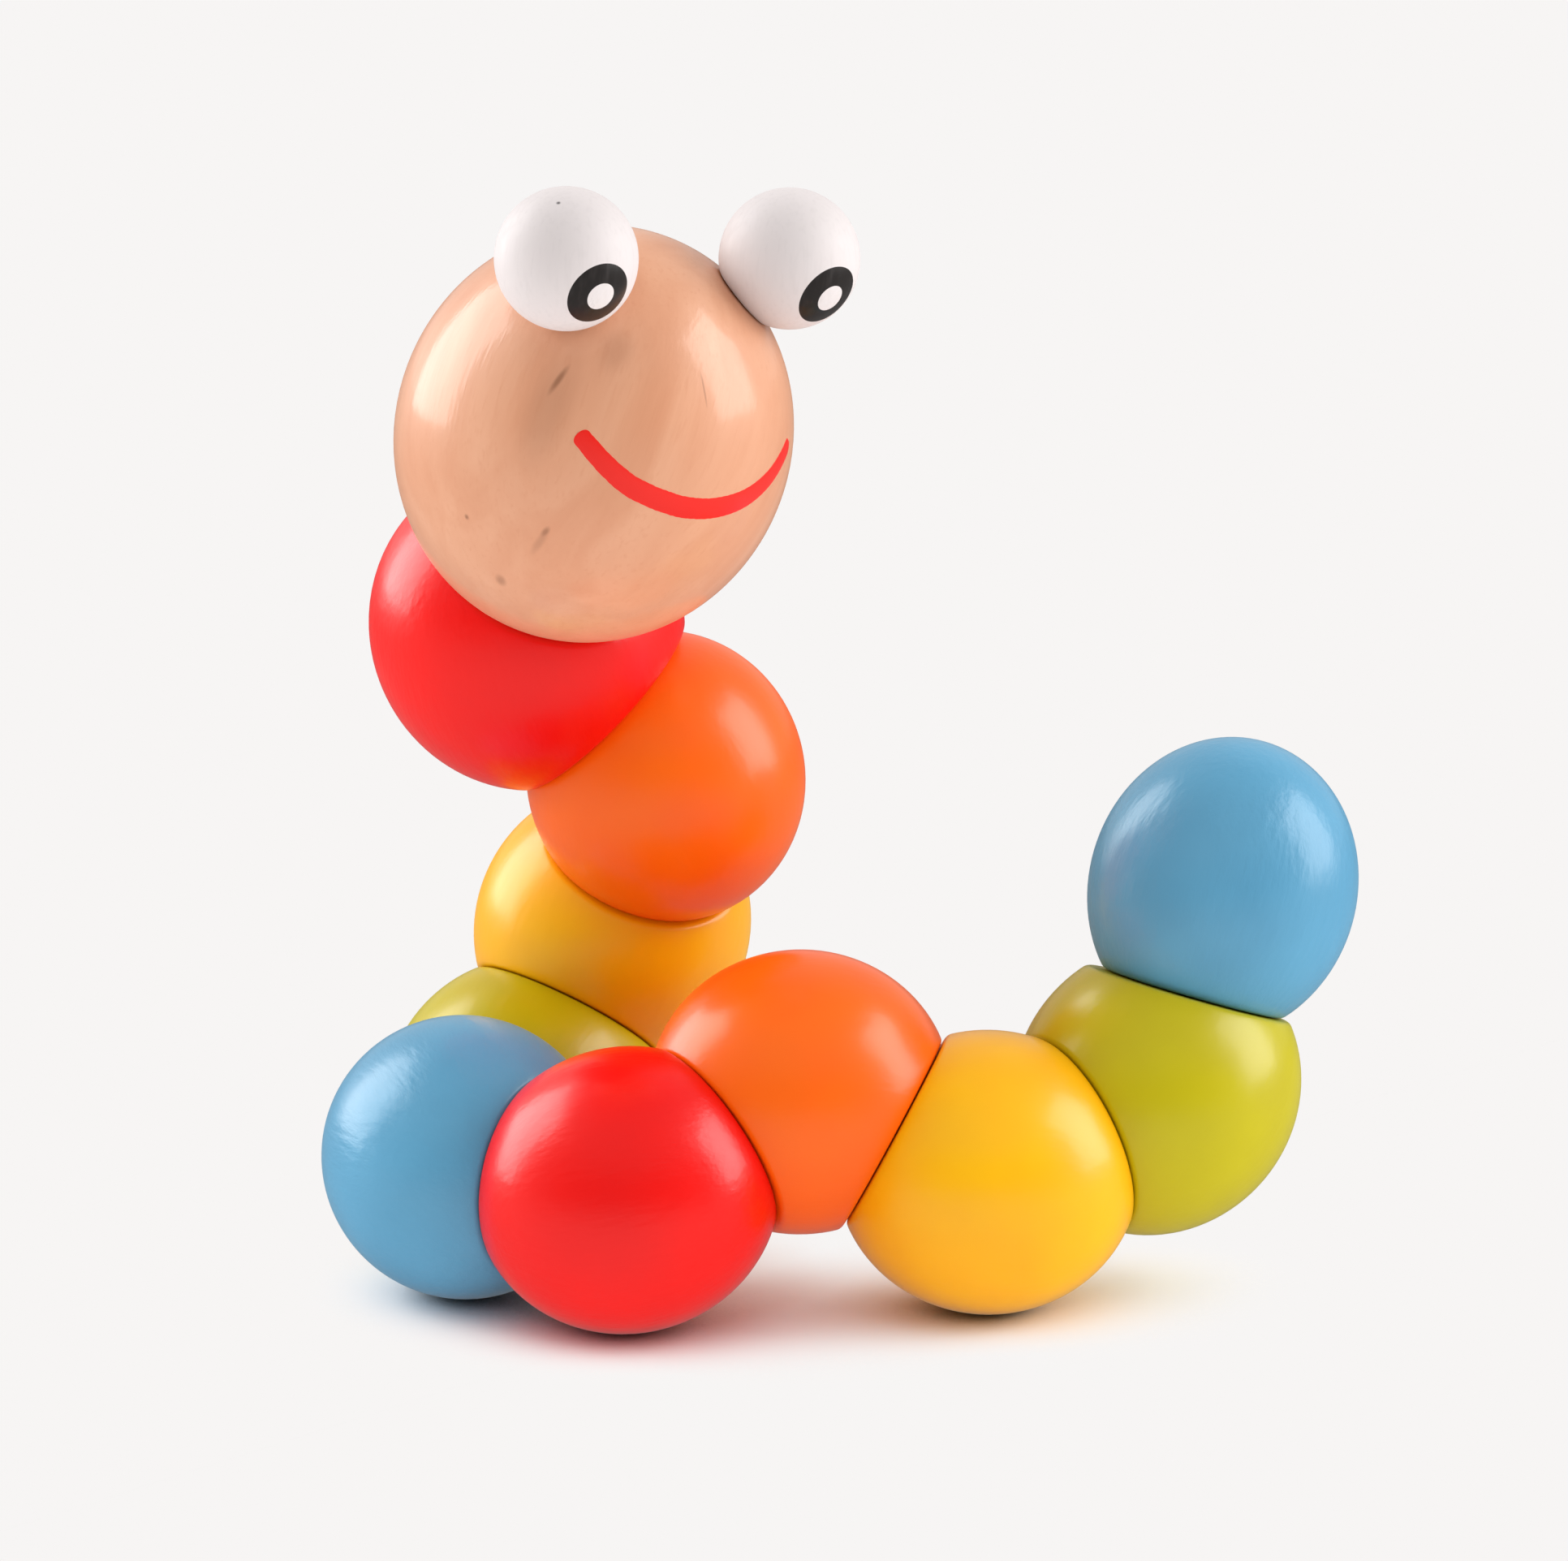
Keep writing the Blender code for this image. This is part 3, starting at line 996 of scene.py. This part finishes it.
@dataclass
class Head:
    """The head: a ball stretched along its neck, with its neck flat and the seats of the eyes.

    The heading, the roll and the lift of the eyes are in degrees.
    """

    neck: Swivel
    radius: float = 19.2 * MM
    stretch: float = 1.12
    flat_share: float = 0.823
    heading: float = 35.0
    roll: float = 6.0
    eye_lift: float = 55.6
    seat_radius: float = 4.1 * MM
    rim: float = 0.4 * MM
    segments: int = 144
    finish: LacqueredWood = LacqueredWood()

    @property
    def half_length(self) -> float:
        """Half the ball's length along the neck."""
        return self.radius * self.stretch

    def face(self) -> Matrix:
        """Finds the face's frame.

        Returns:
            The frame, with right on X, facing on -Y and up on Z.
        """
        heading = Matrix.Rotation(math.radians(self.heading), 4, "Z")
        turn = heading @ Matrix.Rotation(math.radians(self.roll), 4, "Y")
        reach = self.half_length * self.flat_share + FIT_GAP / 2
        turn.translation = self.neck.pivot - reach * self.neck.axis
        return turn

    def ball(self) -> Matrix:
        """Finds what turns a ball of radius 1 into the head.

        Returns:
            The stretch, turn and place, with Z down the neck.
        """
        turn = turn_to(self.neck.axis)
        turn.translation = self.face().translation
        return turn @ Matrix.Diagonal((self.radius, self.radius, self.half_length, 1.0))

    def seat(self, side: Side) -> Matrix:
        """Finds the frame of an eye's seat.

        Args:
            side: The side of the eye.

        Returns:
            The frame, with its Z outwards.
        """
        towards = Matrix.Rotation(math.radians(-self.eye_lift), 3, "X") @ aim(side.split, 0.0)
        outwards = spot_on(self.ball(), self.face(), towards) @ Matrix.Rotation(math.pi / 2, 4, "X")
        return outwards @ Matrix.Translation((0, 0, -self.seat_radius**2 / (2 * self.radius)))

    def build(self) -> Object:
        """Turns the head, cuts the neck flat with a rounded rim and flattens the seats.

        Returns:
            The head, in its place.
        """
        face = self.flat_share + (FIT_GAP - SEAM) / 2 / self.half_length
        ball = turn_ball("head_ball", self.segments, face, self.rim / self.radius)
        ball.data.transform(self.ball())
        for side in Side:
            seat = self.seat(side)
            foot = seat.translation
            outwards = seat.to_3x3() @ UP
            with editing(ball):
                bpy.ops.mesh.bisect(
                    plane_co=foot, plane_no=outwards, clear_outer=True, use_fill=True, threshold=CUT_REACH
                )
        return ball

    def dress(self, ball: Object) -> None:
        """Lacquers the head, drills it and hangs it on its body.

        Args:
            ball: The head that build made.
        """
        ball.data.materials.append(self.finish.material(self.ball(), self.face()))
        ball.data.materials.append(BareWood().material("bore_head", self.face()))
        drill(ball, self.neck.pivot, -self.neck.axis, SHANK_BORE, PIN_DEPTH)
        for side in Side:
            seat = self.seat(side)
            drill(ball, seat.translation, seat.to_3x3() @ -UP, DOWEL_BORE, DOWEL_DEPTH_HEAD)
        smooth(ball)
        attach(ball, "head")
        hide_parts("head")


@dataclass
class Fastenings:
    """The hidden pins and dowels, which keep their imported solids."""

    chain: list[Swivel]
    head: Head

    def dress(self) -> None:
        """Gives every pin and dowel its grain along its axis."""
        for number, swivel in enumerate(self.chain, start=1):
            place = turn_to(swivel.axis)
            place.translation = swivel.pivot
            self.finish(f"pin_{number:02d}", place)
        for side in Side:
            self.finish("dowel_" + side.name.lower(), self.head.seat(side))

    def finish(self, node: str, place: Matrix) -> None:
        """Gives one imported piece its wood.

        Args:
            node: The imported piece's node.
            place: A frame with its Z along the grain.
        """
        piece = frame["nodes"][node]
        piece.data.materials.clear()
        piece.data.materials.append(BareWood().material(node, place))


@dataclass
class Studio:
    """Pale floor, two softboxes at the sides, soft fill and the camera.

    Each softbox is a pair of lamps: one shows in the gloss, the other lights the pieces and the floor.
    Along a range one look goes over into another. Angles are in degrees.
    """

    floor_size: float = 8.0
    floor_drop: float = 0.02 * MM
    paper: str = "F8F6F5"
    # Colour of the painted contact shadow, where the paper meets the beads.
    painted_contact_shadow: str = "2E2A2A"
    backdrop: str = "F7F5F4"
    paper_roughness: float = 0.8
    paper_level: float = 0.1
    paper_gloss: Pair = (0.3, 0.15)
    # Strength of the paper's painted glow, which lights the pieces from below outside their gloss.
    floor_glow: float = 0.3
    far_range: Pair = (0.11, 0.34)
    sky_reach: float = 25.0 * MM
    clear_range: Pair = (0.16, 0.68)
    painted_shadow_sky: float = 0.12
    wall: Pair = (0.02, 0.7)
    wall_range: Pair = (0.1, 0.8)
    fill: Pair = (1.0, 0.22)
    ahead_range: Pair = (0.15, 0.8)
    low_range: Pair = (0.65, 0.25)
    left: Triple = (-0.82, 0.347, 0.454)
    right: Triple = (0.893, 0.016, 0.45)
    focus: Triple = (0.0, 0.0, 0.055)
    box_distance: float = 0.75
    left_gloss: Pair = (0.56, 0.66)
    right_gloss: Pair = (0.48, 0.62)
    gloss_drop: float = 0.05
    gloss_radiance: float = 5.8
    wash_size: Pair = (0.47, 0.47)
    wash_radiance: float = 4.9
    camera_place: Triple = (-7.705 * MM, -700.26 * MM, 228.776 * MM)
    camera_dip: float = 14.287
    camera_heading: float = 0.173
    focal_px: float = 9000.0
    image_width: float = 1932.0
    sensor: float = 36.0

    def lay_floor(self) -> None:
        """Lays the floor just under the lowest beads."""
        bpy.ops.object.select_all(action="DESELECT")
        bpy.ops.mesh.primitive_plane_add(size=self.floor_size, location=(0, 0, -self.floor_drop))
        floor = bpy.context.object
        floor.name = "floor"
        bpy.ops.object.transform_apply(location=True, rotation=False, scale=False)
        floor.data.materials.append(self.floor_paper())

    def floor_paper(self) -> Material:
        """Mixes the floor's matt white paper.

        Under and between the beads the camera sees lit paper with its shadows, elsewhere an even backdrop.
        Where little sky reaches, the paper's colour darkens towards a painted contact shadow.
        Seen from the pieces outside their gloss, the paper also gives a painted glow, most where the sky is open.
        In the gloss of the pieces the paper is darker.

        Returns:
            The material.
        """
        material, tree, shader = new_material("floor_paper")
        rays = add_node(tree, "LightPath").outputs
        coords = add_node(tree, "TexCoord").outputs["Object"]
        reach = add_node(tree, "VectorMath", {"operation": "LENGTH"}, {0: coords}).outputs["Value"]
        far = add_node(tree, "MapRange", SOFT_STEP, {"Value": reach} | span("From", self.far_range))
        sky = add_node(tree, "AmbientOcclusion", inputs={"Distance": self.sky_reach}).outputs["AO"]
        clear = add_node(tree, "MapRange", SOFT_STEP, {"Value": sky} | span("From", self.clear_range))
        even = add_node(tree, "Math", {"operation": "MAXIMUM"}, {0: far, 1: clear})
        # Painted contact shadow: where little sky reaches, the paper's colour darkens towards a dark grey.
        painted_shadow_share = add_node(tree, "MapRange", inputs={"Value": sky, "From Max": self.painted_shadow_sky})
        shades = {"Factor": painted_shadow_share, MIX_A: linear(self.painted_contact_shadow), MIX_B: linear(self.paper)}
        colour = add_node(tree, "Mix", COLOUR_MIX, shades).outputs[MIX_RESULT]
        matt = {"Roughness": self.paper_roughness, "Specular IOR Level": self.paper_level}
        fill_sockets(tree, shader, {"Base Color": colour} | matt)
        pale = add_node(tree, "Emission", inputs={"Color": linear(self.backdrop)})
        seen = add_node(tree, "MixShader", inputs={0: even, 1: shader, 2: pale})
        dim = add_node(tree, "MapRange", inputs={"Value": far} | span("To", self.paper_gloss))
        mirror = add_node(tree, "Emission", inputs={"Color": linear(self.paper), "Strength": dim})
        # Painted glow: besides its lit colour the paper glows for the pieces' diffuse light, most where the sky is
        # open.
        floor_glow_strength = add_node(tree, "MapRange", inputs={"Value": clear, "To Max": self.floor_glow})
        lamp = add_node(tree, "Emission", inputs={"Color": linear(self.paper), "Strength": floor_glow_strength})
        paper_and_glow = add_node(tree, "AddShader", inputs={0: shader, 1: lamp})
        cast = add_node(tree, "MixShader", inputs={0: rays["Is Glossy Ray"], 1: paper_and_glow, 2: mirror})
        both = add_node(tree, "MixShader", inputs={0: rays["Is Camera Ray"], 1: cast, 2: seen})
        fill_sockets(tree, tree.nodes["Material Output"], {"Surface": both})
        material.cycles.emission_sampling = "NONE"
        return material

    def hang_lamp(
        self, name: str, place: Vector, turn: Quaternion, size: Pair, radiance: float
    ) -> Object:
        """Hangs one lamp, which the camera doesn't see.

        Args:
            name: The lamp's name.
            place: The middle of the lamp.
            turn: Turns the lamp from facing straight down.
            size: Width and height.
            radiance: Brightness of its face, where 1 is a white surface.

        Returns:
            The lamp.
        """
        lamp = bpy.data.lights.new(name, "AREA")
        lamp.shape = "RECTANGLE"
        lamp.size, lamp.size_y = size
        lamp.energy = radiance * math.pi * lamp.size * lamp.size_y
        box = bpy.data.objects.new(name, lamp)
        bpy.context.scene.collection.objects.link(box)
        box.location = place
        box.rotation_euler = turn.to_euler()
        box.visible_camera = False
        return box

    def hang_softboxes(self) -> None:
        """Hangs a softbox at each side."""
        boxes = (("left", self.left, self.left_gloss), ("right", self.right, self.right_gloss))
        for name, direction, gloss_size in boxes:
            place = Vector(self.focus) + self.box_distance * Vector(direction).normalized()
            turn = Vector(direction).to_track_quat("Z", "Y")
            lower = place - turn @ Vector((0, self.gloss_drop, 0))
            gloss = self.hang_lamp(f"{name}_gloss", lower, turn, gloss_size, self.gloss_radiance)
            gloss.visible_diffuse = False
            wash = self.hang_lamp(f"{name}_wash", place, turn, self.wash_size, self.wash_radiance)
            wash.visible_glossy = False

    def set_fill(self) -> None:
        """Sets the room's light, which comes from above and the sides more than from ahead and behind.

        The camera sees an even backdrop. The gloss of the pieces shows a dim room with a pale wall behind.
        """
        world = bpy.data.worlds.new("studio")
        bpy.context.scene.world = world
        world.cycles.sampling_method = "NONE"
        world.use_nodes = True
        tree = world.node_tree
        tree.nodes.clear()
        rays = add_node(tree, "LightPath").outputs
        coords = add_node(tree, "TexCoord").outputs["Generated"]
        towards = add_node(tree, "SeparateXYZ", inputs={"Vector": coords}).outputs
        ends = span("From", self.wall_range) | span("To", self.wall)
        behind = add_node(tree, "MapRange", SOFT_STEP, {"Value": towards["Y"]} | ends)
        depth = add_node(tree, "Math", {"operation": "ABSOLUTE"}, {0: towards["Y"]})
        ahead = add_node(tree, "MapRange", SOFT_STEP, {"Value": depth} | span("From", self.ahead_range))
        low = add_node(tree, "MapRange", SOFT_STEP, {"Value": towards["Z"]} | span("From", self.low_range))
        level = add_node(tree, "Math", {"operation": "MULTIPLY"}, {0: ahead, 1: low})
        strength = add_node(tree, "MapRange", inputs={"Value": level} | span("To", self.fill))
        even = add_node(tree, "Background", inputs={"Color": (1, 1, 1, 1), "Strength": strength})
        gloss = add_node(tree, "Background", inputs={"Color": linear(self.backdrop), "Strength": behind})
        pale = add_node(tree, "Background", inputs={"Color": linear(self.backdrop)})
        lit = add_node(tree, "MixShader", inputs={0: rays["Is Glossy Ray"], 1: even, 2: gloss})
        both = add_node(tree, "MixShader", inputs={0: rays["Is Camera Ray"], 1: lit, 2: pale})
        add_node(tree, "OutputWorld", inputs={"Surface": both})

    def set_camera(self) -> None:
        """Sets the camera where the photograph was taken from."""
        lens = bpy.data.cameras.new("camera")
        lens.sensor_fit = "HORIZONTAL"
        lens.sensor_width = self.sensor
        lens.lens = self.focal_px / self.image_width * self.sensor
        camera = bpy.data.objects.new("camera", lens)
        bpy.context.scene.collection.objects.link(camera)
        camera.location = self.camera_place
        camera.rotation_euler = (math.radians(90 - self.camera_dip), 0, math.radians(-self.camera_heading))
        bpy.context.scene.camera = camera
        bpy.context.scene.view_settings.view_transform = "Standard"


def make_beads(chain: list[Swivel]) -> list[Bead]:
    """Lists the beads from neck to tail.

    Args:
        chain: The swivels from head to tail.

    Returns:
        The beads with their bodies, paints and sizes.
    """
    paints = list(Paint)
    bodies = frame["record"]["behaviour"]["bodies"]
    beads = []
    for index, swivel in enumerate(chain):
        body = f"bead_{index + 1}"
        node = next(name for name in bodies[body] if name.startswith("seg_"))
        far = chain[index + 1] if index + 1 < len(chain) else None
        beads.append(Bead(node, body, paints[index % len(paints)], swivel, far))
    neck, tail = beads[0], beads[-1]
    neck.radius *= NECK_SCALE
    tail.radius *= TAIL_SCALE
    tail.stretch = TAIL_STRETCH
    tail.flat_share = TAIL_FLAT_SHARE
    return beads


def main() -> None:
    """Builds and dresses the worm and sets up the studio."""
    logging.basicConfig(level=logging.INFO, format="%(message)s")
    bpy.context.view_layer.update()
    chain = swivels()
    studio = Studio()
    studio.set_camera()
    studio.lay_floor()
    studio.hang_softboxes()
    studio.set_fill()
    for bead in make_beads(chain):
        bead.dress(bead.build())
        log.info("%s: %s bead on %s", bead.node, bead.paint.name.lower(), bead.body)
    head = Head(chain[0])
    head.dress(head.build())
    log.info("head: %.1f mm ball, %.1f mm long", 2 * head.radius / MM, 2 * head.half_length / MM)
    for side in Side:
        eye = Eye(side, head.seat(side), head.face())
        eye.dress(eye.build())
        log.info("%s: %.1f mm ball", eye.node, 2 * eye.radius / MM)
    smile = Smile(head.ball(), head.face())
    smile.dress(smile.build())
    log.info("smile: %.1f mm stroke", smile.width / MM)
    Fastenings(chain, head).dress()


if __name__ == "__main__":
    main()
